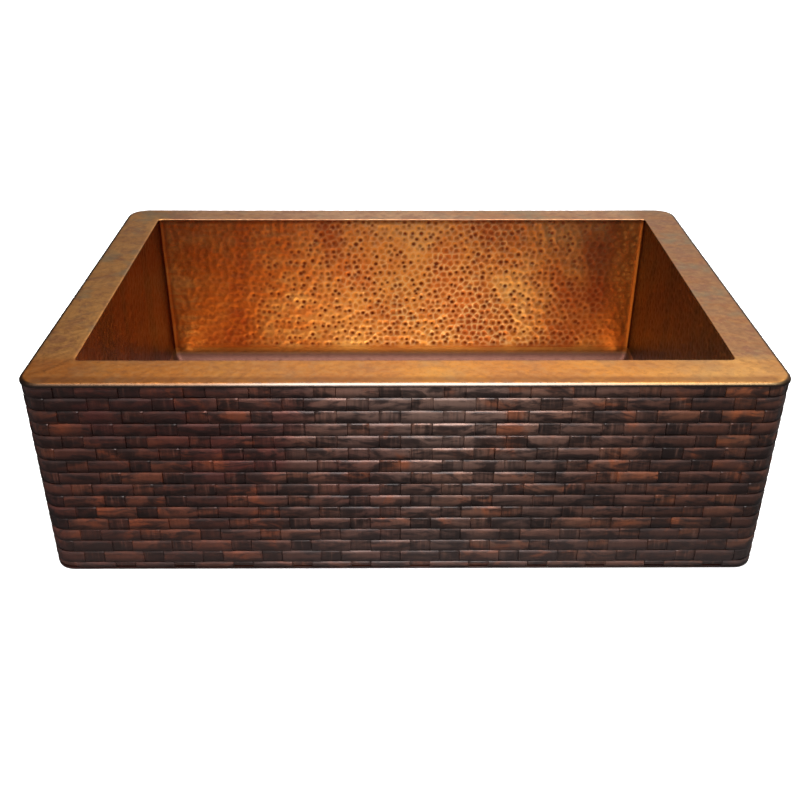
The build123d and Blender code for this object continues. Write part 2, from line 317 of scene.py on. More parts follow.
class Side:
    """The columns of one side of the sink: plan points at the rim's edge, bowl and floor."""

    def __init__(self, side, spacing):
        long_side = side in ("front", "back")
        reach = 2 * half_width if long_side else back_y - front_y
        count = int(reach / spacing)
        self.outer = side_path(side, half_width, front_y, back_y, CORNER, count)
        self.inner = side_path(side, bowl_x, bowl_front, bowl_back, BOWL_CORNER, count)
        foot = (bowl_x - COVE, bowl_front + COVE, bowl_back - COVE, 1.0)
        self.foot = side_path(side, *foot, count)
        self.axis = 0 if long_side else 1
        self.lip = LIP_OVER_WEAVE if side == "front" else LIP_HEIGHT
        even = np.linspace(0, 1, count + 1)
        self.fade = smoothstep(0, 9.0, np.minimum(even, 1 - even) * reach)
        self.rim = np.linalg.norm(self.inner - self.outer, axis=1)

    def ledge_row(self, inwards, z):
        """A row of the rim, lightly hammered, at a distance inwards from its outer edge."""
        share = (inwards / self.rim)[:, None]
        plan = self.outer * (1 - share) + self.inner * share
        points, values = self.row(plan, z, inwards - self.rim - z)
        values[:, 2] *= 0.4
        return points, values

    def wall_row(self, z):
        return self.row(self.inner, z, -z)

    def cove_row(self, angle):
        """A row of the bend into the floor, from 0 at the wall to a right angle."""
        share = 1 - cos(angle)
        plan = self.inner * (1 - share) + self.foot * share
        z = FLOOR_Z + COVE * (1 - sin(angle))
        return self.row(plan, z, -FLOOR_Z - COVE + COVE * angle)

    def row(self, plan, z, v):
        flat = 0 * self.fade
        return np.column_stack([plan, flat + z]), np.column_stack([plan[:, self.axis], flat + v, self.fade])


def stacked(rows):
    return np.stack([r[0] for r in rows]), np.stack([r[1] for r in rows])


def rim_surface(side, spacing):
    """Outer lip, flat ledge and collar of one side."""
    inward, drop = LIP_BEND
    rows = [side.ledge_row(0, z) for z in (-side.lip, -side.lip * 0.97)]
    for angle in np.linspace(0, pi / 2, 10):
        rows.append(side.ledge_row(inward * (1 - cos(angle)), drop * (sin(angle) - 1)))
    ledge = side.rim - inward - COLLAR_BEND
    steps = int(ledge.min() / spacing)
    for k in range(1, steps):
        rows.append(side.ledge_row(inward + ledge * k / steps, 0.0))
    for angle in np.linspace(0, pi / 2, 6):
        inwards = side.rim - COLLAR_BEND * (1 - sin(angle))
        rows.append(side.ledge_row(inwards, COLLAR_BEND * (cos(angle) - 1)))
    for z in np.linspace(-COLLAR_BEND, collar_z, 8)[1:]:
        rows.append(side.wall_row(z))
    return stacked(rows)


def wall_surface(side, spacing):
    """One wall, smooth along the foot where it meets the pan."""
    steps = int((collar_z - pan_top_z) / spacing)
    points, values = stacked([side.wall_row(z) for z in np.linspace(collar_z, pan_top_z, steps + 1)])
    values[..., 2] *= smoothstep(pan_top_z, pan_top_z + 8, points[..., 2])
    return points, values


def floor_height(x, y):
    """The floor's height: a level margin, then a fall from all sides to the dish."""
    across = (bowl_x - FLOOR_INSET - np.abs(x)) / (bowl_x - FLOOR_INSET - DISH_HALF)
    half_y = bowl_half_y - FLOOR_INSET
    along = (half_y - np.abs(y - drain_y)) / (half_y - DISH_HALF)
    share = np.minimum(across, along)
    soft = 0.5 * (share + np.sqrt(share**2 + 0.002))
    return FLOOR_Z - FLOOR_FALL * np.clip(soft, 0, 1)


def floor_row(plan, z, fade):
    """A row of the floor, whose blows lie in another part of the table than the walls'."""
    flat = 0 * plan[:, 0]
    return np.column_stack([plan, flat + z]), np.column_stack([plan + [3000, 0], flat + fade])


def floor_fan(side):
    """The floor from the foot of one side's cove to the drain, down to its recessed seat."""
    start = np.arctan2(side.foot[0, 1] - drain_y, side.foot[0, 0])
    sweep = (np.arctan2(side.foot[-1, 1] - drain_y, side.foot[-1, 0]) - start) % (2 * pi)
    turn = start + sweep * np.linspace(0, 1, len(side.foot))
    circle = np.column_stack([np.cos(turn), np.sin(turn)]) * SEAT_RADIUS + [0, drain_y]
    reach = np.linalg.norm(circle - side.foot, axis=1)
    steps = int(reach.max() / (COARSE * 1.3))
    rows = []
    for k in range(steps + 1):
        share = (k / steps) ** 0.85
        plan = side.foot * (1 - share) + circle * share
        margin = np.minimum(smoothstep(0, 22, reach * share), smoothstep(0, 14, reach * (1 - share)))
        rows.append(floor_row(plan, floor_height(*plan.T), margin))
    dish = floor_height(0, drain_y)
    seat = [(SEAT_RADIUS - 0.7, 0.3), (SEAT_RADIUS - 1, 1), (SEAT_RADIUS - 1, SEAT_RECESS)]
    for radius, drop in (*seat, (DRAIN_HOLE, SEAT_RECESS)):
        plan = (circle - [0, drain_y]) * radius / SEAT_RADIUS + [0, drain_y]
        rows.append(floor_row(plan, dish - drop, 0))
    return stacked(rows)


def cove_surface(side):
    """The pan's upturned edge along one side: a short upright and the bend into the floor."""
    rows = [side.wall_row(z) for z in np.linspace(pan_top_z, FLOOR_Z + COVE, 3)[:-1]]
    rows += [side.cove_row(a) for a in np.linspace(0, pi / 2, 11)]
    points, values = stacked(rows)
    values[..., 2] *= 0.35 * smoothstep(0, 3, np.arange(len(rows)))[:, None]
    return points, values


def in_bowl(points):
    """Whether plan points lie within the bowl or the thickness of its wall."""
    across = np.abs(points[:, 0]) < bowl_x + SHEET + 0.1
    return across & (np.abs(points[:, 1] - drain_y) < bowl_half_y + SHEET + 0.1)


def hammered_piece(name, node, grids, blows, seed, material, inside=None):
    """A closed hammered sheet. Blows are its depth, swell and pitch.

    Inside is the material of the faces that lie in the bowl, where it isn't the sheet's own.
    """
    points, values, quads = weld(grids)
    skin, normals, marks = hammered(points, values, quads, *blows, seed)
    solid, faces = thickened(skin, normals, quads, SHEET)
    second = None
    if inside:
        low = solid[faces][:, :, 2].max(axis=1) < -0.6 * COLLAR_BEND
        second = (inside, low & in_bowl(solid[faces].mean(axis=1)))
    stand_in(make_object(name, solid, faces, material, marks, second=second), node, "sink")


def bowl_pieces():
    """Rim strips, bowl walls and floor pan, each in place of its own node."""
    for k, side in enumerate(SIDES):
        spacing, depth = (FINE, 0.75) if side == "back" else (MEDIUM, 0.5)
        columns, blows = Side(side, spacing), (depth, 0.35, 10.8)
        rim, wall, metal = f"rim_{side}", f"bowl_wall_{side}", MATERIAL[f"bowl_{side}"]
        ledge = [rim_surface(columns, spacing)]
        hammered_piece(f"{rim}_hammered", rim, ledge, blows, k, MATERIAL["rim"], metal)
        upright = [wall_surface(columns, spacing)]
        hammered_piece(f"{wall}_hammered", wall, upright, blows, k, metal)
    sides = [Side(side, COARSE) for side in SIDES]
    pan = [floor_fan(side) for side in sides] + [cove_surface(side) for side in sides]
    blows, metal = (0.35, 0.3, 14.0), MATERIAL["bowl_floor"]
    hammered_piece("floor_pan_hammered", "bowl_floor_pan", pan, blows, 5, metal)


# ---- woven apron

PATH_INSET = STAKE_INSET + STRAP / 2
TURN_RADIUS = CORNER - PATH_INSET
FRONT_HALF = half_width - CORNER
TURN_END = FRONT_HALF + TURN_RADIUS * pi / 2
PATH_END = TURN_END + (weave_rear_y - 1.5) - (front_y + CORNER)


def on_path(s, inset):
    """Plan points at distance s along the apron from its middle, inset from the rim's edge."""
    side, s = np.sign(s) + (s == 0), np.abs(s)
    angle = np.clip((s - FRONT_HALF) / TURN_RADIUS, 0, pi / 2)
    r = CORNER - inset
    x = np.minimum(s, FRONT_HALF) + r * np.sin(angle)
    y = front_y + CORNER - r * np.cos(angle) + np.maximum(s - TURN_END, 0)
    return np.stack([side * x, y], axis=-1)


def course_span(row):
    top = max(FIRST_COURSE_TOP + row * COURSE_PITCH, LIP_OVER_WEAVE + 0.1)
    bottom = min(FIRST_COURSE_TOP + (row + 1) * COURSE_PITCH, -hem_top_z)
    return -top, -bottom


def strap_section(height, hidden_top):
    """Heights below the strap's top and depths round it: bevel, rounded face, foot, flat back.

    The top course has no bevel, because its own is up under the rim's lip.
    """
    bevel = np.array([[0.0, 1.36], [0.1, 1.28], [0.8, 0.82], [1.6, 0.4], [2.3, 0.14], [BEVEL, 0.02]])
    face = np.column_stack([np.linspace(BEVEL + 0.8, height - 2.0, 5), np.zeros(5)])
    foot = np.array([[1.1, 0.03], [0.5, 0.22], [0.12, 0.62], [0.0, 1.1]]) * (-1, 1) + (height, 0)
    front = np.concatenate([bevel, face, foot])
    front[:, 1] += 0.32 * (front[:, 0] / height * 2 - 1) ** 2 - 0.3
    if hidden_top:
        front[:len(bevel), 1] = 0.1
    back = np.array([[height, STRAP], [height / 2, STRAP], [0, STRAP]])
    return np.concatenate([front, back]).T


def strap_stations(row):
    """Distances along the apron where a strap's rings stand, close together at its folds."""
    stations = [np.arange(-PATH_END, PATH_END, 4.0), [PATH_END]]
    fold = np.linspace(OVER_REACH - 0.7, UNDER_REACH + 0.5, 8)
    for k in range(-16 + row % 2, 16, 2):
        centre = (k + 0.5) * STAKE_PITCH
        stations += [centre - fold, centre + fold]
    s = np.unique(np.concatenate(stations))
    s = s[np.abs(s) <= PATH_END]
    return s[np.concatenate([[True], np.diff(s) > 0.2])]


def weaver(row):
    """One horizontal strap, passing over and under the stakes: points, faces and tones."""
    own = np.random.default_rng(100 + row)
    top, bottom = course_span(row)
    s = strap_stations(row)
    phase = s / STAKE_PITCH - 0.5
    away = np.abs((phase + row + 1) % 2 - 1) * STAKE_PITCH
    lift = smoothstep(UNDER_REACH, OVER_REACH, away)
    cell = np.round((phase + row) / 2).astype(int) % 40
    table = own.normal(0, 1, (40, 3))
    bow = lift * np.clip(1 - (away / OVER_REACH) ** 2, 0, 1)
    inset = UNDER_INSET - lift * (UNDER_INSET - OVER_INSET) - bow * (STRAP_CROWN + 0.07 * table[cell, 0])
    wander = np.interp(s, np.linspace(-PATH_END, PATH_END, 30), own.normal(0, 0.12, 30))
    heights, depths = strap_section(top - bottom - 0.5, row == 0)
    bevel = np.where(heights <= BEVEL, depths, 0)
    tilt = 0.25 * table[cell, 1] * lift
    low = heights / heights.max()
    face_inset = inset[:, None] + depths + tilt[:, None] * (low - 0.5)
    face_inset -= bevel * np.clip(0.1 * table[cell, 2], -0.1, 0.3)[:, None]
    dents = waves(s[:, None] + 0 * heights, 0 * s[:, None] + heights + 50 * row, row, 12, 36) - 0.5
    face_inset += STRAP_DENT * dents * (heights > 1.5) * (depths < 1)
    face_inset = np.maximum(face_inset, 0.3)
    plan = on_path(np.repeat(s[:, None], len(depths), 1), face_inset)
    z = top - 0.25 + wander[:, None] - heights
    points, quads = capped(np.concatenate([plan, z[..., None]], axis=-1))
    return points, quads, cell_marks(own.random(40)[cell], np.tile(low, (len(s), 1)))


def cell_marks(tone, low):
    """Each point's shade of patina and share of the way down its course. Rows are rings."""
    marks = np.stack([np.repeat(tone[:, None], low.shape[1], 1), low], axis=-1).reshape(-1, 2)
    return np.concatenate([marks, marks[:1], marks[-1:]])


def capped(points):
    """A tube of closed rings with its two ends filled. The grid is (rings, points round)."""
    rings, around = points.shape[:2]
    flat = points.reshape(-1, 3)
    quads = grid_quads(rings, around, closed=True)
    ends = np.stack([points[0].mean(axis=0), points[-1].mean(axis=0)])
    first = np.arange(around)
    last = first + (rings - 1) * around
    hub = np.full(around, len(flat))
    start = np.stack([hub, hub, np.roll(first, -1), first], axis=-1)
    end = np.stack([hub + 1, hub + 1, last, np.roll(last, -1)], axis=-1)
    return np.concatenate([flat, ends]), np.concatenate([quads, start, end])


def stake_strap(k):
    """One upright strap: it bows out where it shows between the courses."""
    own = np.random.default_rng(500 + k)
    below = np.array([0, 0.4, 0.8, 1.2, 1.6, 2.1, 5.0, 8.0, 11.0, 13.6, 14.4, 15.2])
    drop = (FIRST_COURSE_TOP + COURSE_PITCH * np.arange(COURSES)[:, None] + below).ravel()
    row = np.repeat(np.arange(COURSES), len(below))
    below = np.tile(below, COURSES)
    shows = (row + k) % 2 == 1
    kept = (drop >= LIP_OVER_WEAVE) & (drop <= -hem_top_z) & (shows | np.isin(below, (0, 8.0)))
    drop, row, below, shows = drop[kept], row[kept], below[kept], shows[kept]
    bulge = shows * smoothstep(0, 1.9, below) * smoothstep(COURSE_PITCH, 14, below)
    bulge = bulge * (1.0 + 0.1 * own.normal(0, 1, 20)[row])
    across = np.array([-1, -0.985, -0.95, -0.6, 0, 0.6, 0.95, 0.985, 1, 1, 0, -1])
    depth = np.array([0.9, 0.4, 0.06, 0, 0, 0, 0.06, 0.4, 0.9, 1, 1, 1])
    inset = STAKE_INSET + 0.1 - bulge[:, None] + depth * (STRAP - 0.2)
    inset[:, 9:] = STAKE_INSET + STRAP - 0.1
    wander = np.interp(drop, np.linspace(0, -hem_top_z, 9), own.normal(0, 0.2, 9))
    s = (k + 0.5) * STAKE_PITCH + wander[:, None] + across * (STAKE_WIDTH / 2 - 0.1)
    plan = on_path(s, inset)
    z = np.repeat(-drop[:, None, None], s.shape[1], 1)
    points, quads = capped(np.concatenate([plan, z], axis=-1))
    low = np.tile(below[:, None] / COURSE_PITCH, (1, len(depth)))
    return points, quads, cell_marks(own.random(20)[row], low)


def outward(points, quads):
    """The faces turned so that the solid's volume is positive."""
    c = points[quads]
    volume = sum(np.einsum("ij,ij->", c[:, 0], np.cross(c[:, k], c[:, k + 1])) for k in (1, 2))
    return quads if volume > 0 else quads[:, ::-1]


def woven_piece(name, node, straps, material):
    points, quads, marks = merged(straps)
    marks = {"tone": marks[:, 0], "low": marks[:, 1]}
    piece = make_object(name, points, outward(points, quads), MATERIAL[material], marks)
    stand_in(piece, node, "sink")


def apron_pieces():
    for name, parity in (("odd", 0), ("even", 1)):
        straps = [weaver(row) for row in range(parity, COURSES, 2)]
        woven_piece(f"woven_straps_{name}", f"apron_weavers_{name}", straps, "apron")
    half = int((PATH_END - STAKE_WIDTH / 2) / STAKE_PITCH + 0.5)
    stakes = [stake_strap(k) for k in range(-half, half)]
    woven_piece("woven_stakes", "apron_stakes", stakes, "stake")


# ---- welds


def bead(path, facing, closed, seed):
    """A rippled weld bead along a path, standing out of the sheet. Points are rings round it."""
    own = np.random.default_rng(seed)
    run = np.arange(len(path)) * BEAD_STEP
    knots = np.arange(0, run[-1] + 12, 11)
    swell = np.interp(run, knots, own.normal(0, 1, len(knots)))
    ripple = 1 - 0.16 * (np.abs((run / 2.9 + 0.12 * swell) % 1 - 0.5) * 2) ** 2
    turn = np.linspace(-pi / 2, pi / 2, 7)
    half = BEAD_WIDTH / 2 * (1 + 0.07 * swell) * (0.94 + 0.06 * ripple)
    side = np.sin(turn) * half[:, None]
    proud = np.cos(turn) * (BEAD_PROUD * ripple)[:, None]
    side = np.column_stack([side, half * 0.6, -half * 0.6])
    proud = np.column_stack([proud, np.full((len(run), 2), -0.8)])
    lateral = np.cross(np.gradient(path, axis=0), facing)
    lateral /= np.linalg.norm(lateral, axis=1, keepdims=True)
    points = path[:, None] + side[..., None] * lateral[:, None]
    points = points + proud[..., None] * facing[:, None]
    if closed:
        rings, around = points.shape[:2]
        points = np.concatenate([points, points[:1]])
        return points.reshape(-1, 3), grid_quads(rings + 1, around, closed=True)
    return capped(points)


def bowl_corner(sx, sy, z):
    """Where the bowl's rounded corner in one quarter has its centre."""
    return np.array([sx * (bowl_x - BOWL_CORNER), drain_y + sy * (bowl_half_y - BOWL_CORNER), z])


def bowl_loop(z):
    """Even points round the outside of the bowl at one height, with outward directions."""
    points, facing = [], []
    for k, (sx, sy) in enumerate(((1, -1), (1, 1), (-1, 1), (-1, -1))):
        for angle in np.linspace(-pi / 2, 0, 12) + k * pi / 2:
            way = np.array([cos(angle), sin(angle), 0])
            facing.append(way)
            points.append(bowl_corner(sx, sy, z) + way * (BOWL_CORNER + SHEET))
    points, facing = np.array(points + points[:1]), np.array(facing + facing[:1])
    run = run_along(points)
    even = np.arange(0, run[-1], BEAD_STEP)
    return read_at(even, run, points), read_at(even, run, facing)


def weld_pieces():
    beads = {"collar_weld": [], "pan_weld": [], "corner_welds": []}
    for name, z in (("collar_weld", collar_z), ("pan_weld", pan_top_z)):
        beads[name].append(bead(*bowl_loop(z), True, len(name)))
    height = np.arange(pan_top_z + BEAD_WIDTH / 2, collar_z - BEAD_WIDTH / 2, BEAD_STEP)
    for k, (sx, sy) in enumerate(((-1, -1), (1, -1), (1, 1), (-1, 1))):
        way = np.array([sx, sy, 0]) / np.sqrt(2)
        foot = bowl_corner(sx, sy, 0) + way * (BOWL_CORNER + SHEET)
        path = foot + np.column_stack([0 * height, 0 * height, height])
        beads["corner_welds"].append(bead(path, np.tile(way, (len(height), 1)), False, 40 + k))
    for name, parts in beads.items():
        points, quads, _ = merged([(p, q, p) for p, q in parts])
        piece = make_object(f"{name}_bead", points, outward(points, quads), MATERIAL["weld"], sharp=60.0)
        stand_in(piece, name, "sink")


# ---- drain and basket

TURNS = 120
FLANGE_SHEET = 2.0
THROAT_RADIUS = 41.8
BASKET_RADIUS = 35.5
BASKET_SHEET = 1.0
SLOTS = 12
SLOT_WIDTH, SLOT_HEIGHT = 4.0, 13.0
POST_RADIUS = 3.0
SHOULDER_RADIUS, SHOULDER_SHEET = 9.0, 1.2


def turned_size(node):
    """The radius, foot and top of a node that is round about the drain's axis."""
    low, high = box_mm(node)
    return high[0], low[2], high[2]


def softened(corners):
    """A closed (radius, z, bend) outline with each corner rounded by its own bend."""
    outline, places = [], np.array(corners)[:, :2]
    for k, here in enumerate(places):
        bend = corners[k][2]
        if bend == 0:
            outline.append(here)
            continue
        beside = (places[k - 1], places[(k + 1) % len(places)])
        start, end = (here + (p - here) / np.linalg.norm(p - here) * bend for p in beside)
        for t in np.linspace(0, 1, 5):
            outline.append((1 - t) ** 2 * start + 2 * t * (1 - t) * here + t**2 * end)
    return np.array(outline)


def lathe(name, node, body, material, corners):
    """A closed outline turned round the drain's axis."""
    outline = softened(corners)
    turn = np.linspace(0, 2 * pi, TURNS + 1)
    r = outline[:, :1]
    x, y = r * np.cos(turn), r * np.sin(turn) + drain_y
    grid = np.stack([x, y, np.repeat(outline[:, 1:], TURNS + 1, 1)], axis=-1)
    grid = np.concatenate([grid, grid[:1]])
    points, _, quads = weld([(grid, np.zeros(grid.shape[:2]))], grain=0.01)
    piece = make_object(name, points, outward(points, quads), MATERIAL[material], sharp=50.0)
    stand_in(piece, node, body)


def basket_sheet_piece():
    """The basket's rim and slotted wall: one drawn sheet, pierced by round-ended slots."""
    rim_radius, foot, rim = turned_size("basket_cup")
    pitch, half = 2 * pi * BASKET_RADIUS / SLOTS, SLOT_WIDTH / 2
    over_slot = half * np.array([-1, -0.8, -0.5, 0, 0.5, 0.8, 1])
    between_slots = half + (pitch - SLOT_WIDTH) * (np.arange(1, 8) / 8)
    offsets = np.concatenate([over_slot, between_slots])
    angle = (offsets + pitch * np.arange(SLOTS)[:, None]).ravel() / BASKET_RADIUS
    angle = np.append(angle, angle[0] + 2 * pi)
    middle = (foot + rim - BASKET_SHEET) / 2
    low, high = middle - SLOT_HEIGHT / 2, middle + SLOT_HEIGHT / 2
    slot = [low, low + half, middle, high - half, high]
    below = [foot, foot + 1.5, (foot + low) / 2]
    path = [(BASKET_RADIUS, z) for z in (*below, *slot, (high + rim) / 2, rim - 3.0)]
    for turn in np.linspace(0, pi / 2, 6)[1:]:
        path.append((BASKET_RADIUS + 2 * (1 - cos(turn)), rim - 3 + 2 * sin(turn)))
    path += [(rim_radius - 1.2, rim - 1.0), (rim_radius - 0.1, rim - 0.95)]
    r, z = (np.repeat(column[:, None], len(angle), 1) for column in np.array(path).T)
    offset = np.append(np.tile(offsets, SLOTS), offsets[0])
    in_slot = np.abs(offset) <= half
    arc = half - np.sqrt(np.clip(half**2 - offset**2, 0, None))
    foot_row = len(below)
    head_row = foot_row + len(slot) - 1
    z[foot_row] += np.where(in_slot, arc, 0)
    z[head_row] -= np.where(in_slot, arc, 0)
    grid = np.stack([r * np.cos(angle), r * np.sin(angle) + drain_y, z], axis=-1)
    rows, columns = grid.shape[:2]
    keep = np.ones((rows - 1, columns - 1), dtype=bool)
    keep[foot_row:head_row, in_slot[:-1] & in_slot[1:]] = False
    quads = grid_quads(rows, columns).reshape(rows - 1, columns - 1, 4)[keep]
    points = grid.reshape(-1, 3)
    first, quads = joined(points, quads, 0.01)
    points = points[first]
    solid, faces = thickened(points, point_normals(points, quads), quads, BASKET_SHEET)
    piece = make_object("basket_sheet", solid, outward(solid, faces), MATERIAL["bronze"], sharp=50.0)
    stand_in(piece, "basket_cup", "basket")


def drain_pieces():
    radius, _, top = turned_size("strainer_flange")
    foot = top - FLANGE_SHEET
    lathe("flange_turned", "strainer_flange", "sink", "bronze", [
        (THROAT_RADIUS, foot, 0), (radius, foot, 0.2), (radius, top - 0.9, 0.5),
        (radius - 2.6, top, 1.1), (THROAT_RADIUS + 2.2, top, 1.0), (THROAT_RADIUS, top - 1.5, 0.4),
    ])
    radius, foot, top = turned_size("stopper")
    knob_radius, knob_foot, knob_top = turned_size("post_knob")
    _, post_foot, _ = turned_size("post")
    shoulder = top + SHOULDER_SHEET
    lathe("post_turned", "post", "stopper_post", "bronze", [
        (0, knob_foot, 0), (POST_RADIUS, knob_foot, 0), (POST_RADIUS, shoulder + 0.6, 0.5),
        (POST_RADIUS + 1.2, shoulder, 0.6), (SHOULDER_RADIUS, shoulder, 0.5),
        (SHOULDER_RADIUS, top, 0.3), (POST_RADIUS, top, 0), (POST_RADIUS, post_foot, 0.6),
        (0, post_foot, 0),
    ])
    height = knob_top - knob_foot
    lathe("knob_turned", "post_knob", "stopper_post", "bronze", [
        (0, knob_foot, 0), (4.5, knob_foot, 0.5), (3.7, knob_foot + height * 0.28, 1.0),
        (4.4, knob_foot + height * 0.46, 0.8), (knob_radius - 0.8, knob_foot + height * 0.54, 0.9),
        (knob_radius, knob_foot + height * 0.68, 0.8), (knob_radius - 0.3, knob_foot + height * 0.88, 0.9),
        (knob_radius - 2.6, knob_top - 0.2, 1.2), (0, knob_top, 0),
    ])
    lathe("stopper_moulded", "stopper", "stopper_post", "rubber", [
        (POST_RADIUS, top, 0), (radius - 0.5, top, 0.6), (radius, (top + foot) / 2, 0.5),
        (radius - 0.8, foot, 0.6), (radius - 4, foot, 0.6), (radius - 4.8, foot + 0.8, 0.5),
        (POST_RADIUS, foot + 0.8, 0),
    ])
    basket_sheet_piece()


# ---- materials


class Tree:
    """A short way to write a node tree. Kinds go without the words they all start with."""

    def __init__(self, tree):
        self.tree = tree

    def add(self, kind, inputs=None, **settings):
        node = self.tree.nodes.new("ShaderNode" + kind)
        for key, value in settings.items():
            setattr(node, key, value)
        for key, value in (inputs or {}).items():
            self.put(node.inputs[key], value)
        return node

    def put(self, socket, value):
        if isinstance(value, bpy.types.NodeSocket):
            self.tree.links.new(value, socket)
        else:
            socket.default_value = value

    def ramp(self, value, stops, interpolation="EASE"):
        """Grey levels or eight-bit colours at given values, blended between them."""
        node = self.add("ValToRGB", {"Fac": value})
        ramp = node.color_ramp
        ramp.interpolation = interpolation
        while len(ramp.elements) < len(stops):
            ramp.elements.new(1.0)
        for element, (place, colour) in zip(ramp.elements, stops):
            element.position = place
            level = srgb(*colour) if isinstance(colour, tuple) else (colour,) * 3
            element.color = (*level, 1.0)
        return node.outputs["Color"]

    def mix(self, share, a, b, blend="MIX"):
        node = self.add("Mix", data_type="RGBA", blend_type=blend)
        for k, value in ((0, share), (6, a), (7, b)):
            self.put(node.inputs[k], (*value, 1.0) if isinstance(value, tuple) else value)
        return node.outputs[2]

    def layered(self, base, layers):
        """A colour with each (share, eight-bit colour) laid over it in turn."""
        for share, colour in layers:
            base = self.mix(share, base, srgb(*colour))
        return base

    def math(self, operation, a, b=0.0, clamp=False):
        return self.add("Math", {0: a, 1: b}, operation=operation, use_clamp=clamp).outputs[0]

    def times(self, a, b, clamp=False):
        return self.math("MULTIPLY", a, b, clamp)

    def plus(self, a, b):
        return self.math("ADD", a, b)

    def between(self, value, start, end, low=0.0, high=1.0):
        """A smooth change from low to high as a value goes from start to end."""
        inputs = {"Value": value, "From Min": start, "From Max": end, "To Min": low, "To Max": high}
        return self.add("MapRange", inputs, interpolation_type="SMOOTHSTEP").outputs["Result"]

    def bell(self, value, centre, reach):
        """1 at a centre, falling smoothly to 0 at this reach on each side."""
        off = self.math("ABSOLUTE", self.math("SUBTRACT", value, centre))
        return self.between(off, 0.0, reach, 1.0, 0.0)


class Nodes(Tree):
    """A material's own node tree."""

    def __init__(self, name):
        self.material = bpy.data.materials.new(name)
        self.material.use_nodes = True
        super().__init__(self.material.node_tree)
        self.shader = self.tree.nodes["Principled BSDF"]
        self.position = self.add("TexCoord").outputs["Object"]

    def axes(self):
        """The object's own coordinates."""
        return self.add("SeparateXYZ", {"Vector": self.position}).outputs

    def noise(self, scale, detail=3, roughness=0.6, distortion=0.0, stretch=None):
        """Noise over the object's own position, which may be stretched along each axis."""
        vector = self.position
        if stretch:
            vector = self.add("Mapping", {"Vector": vector, "Scale": stretch}).outputs["Vector"]
        inputs = {"Scale": scale, "Detail": detail, "Roughness": roughness, "Distortion": distortion}
        return self.add("TexNoise", {"Vector": vector, **inputs}).outputs["Fac"]

    def mark(self, name):
        return self.add("Attribute", attribute_name=name).outputs["Fac"]

    def bump(self, height, strength, distance):
        node = self.add("Bump", {"Height": height, "Strength": strength, "Distance": distance})
        return node.outputs["Normal"]

    def finish(self, **inputs):
        for key, value in inputs.items():
            self.put(self.shader.inputs[key.replace("_", " ")], value)
        return self.material


def srgb(r, g, b):
    """A linear colour from one in eight-bit sRGB."""
    return tuple(((c / 255 + 0.055) / 1.055) ** 2.4 if c > 10 else c / 255 / 12.92 for c in (r, g, b))


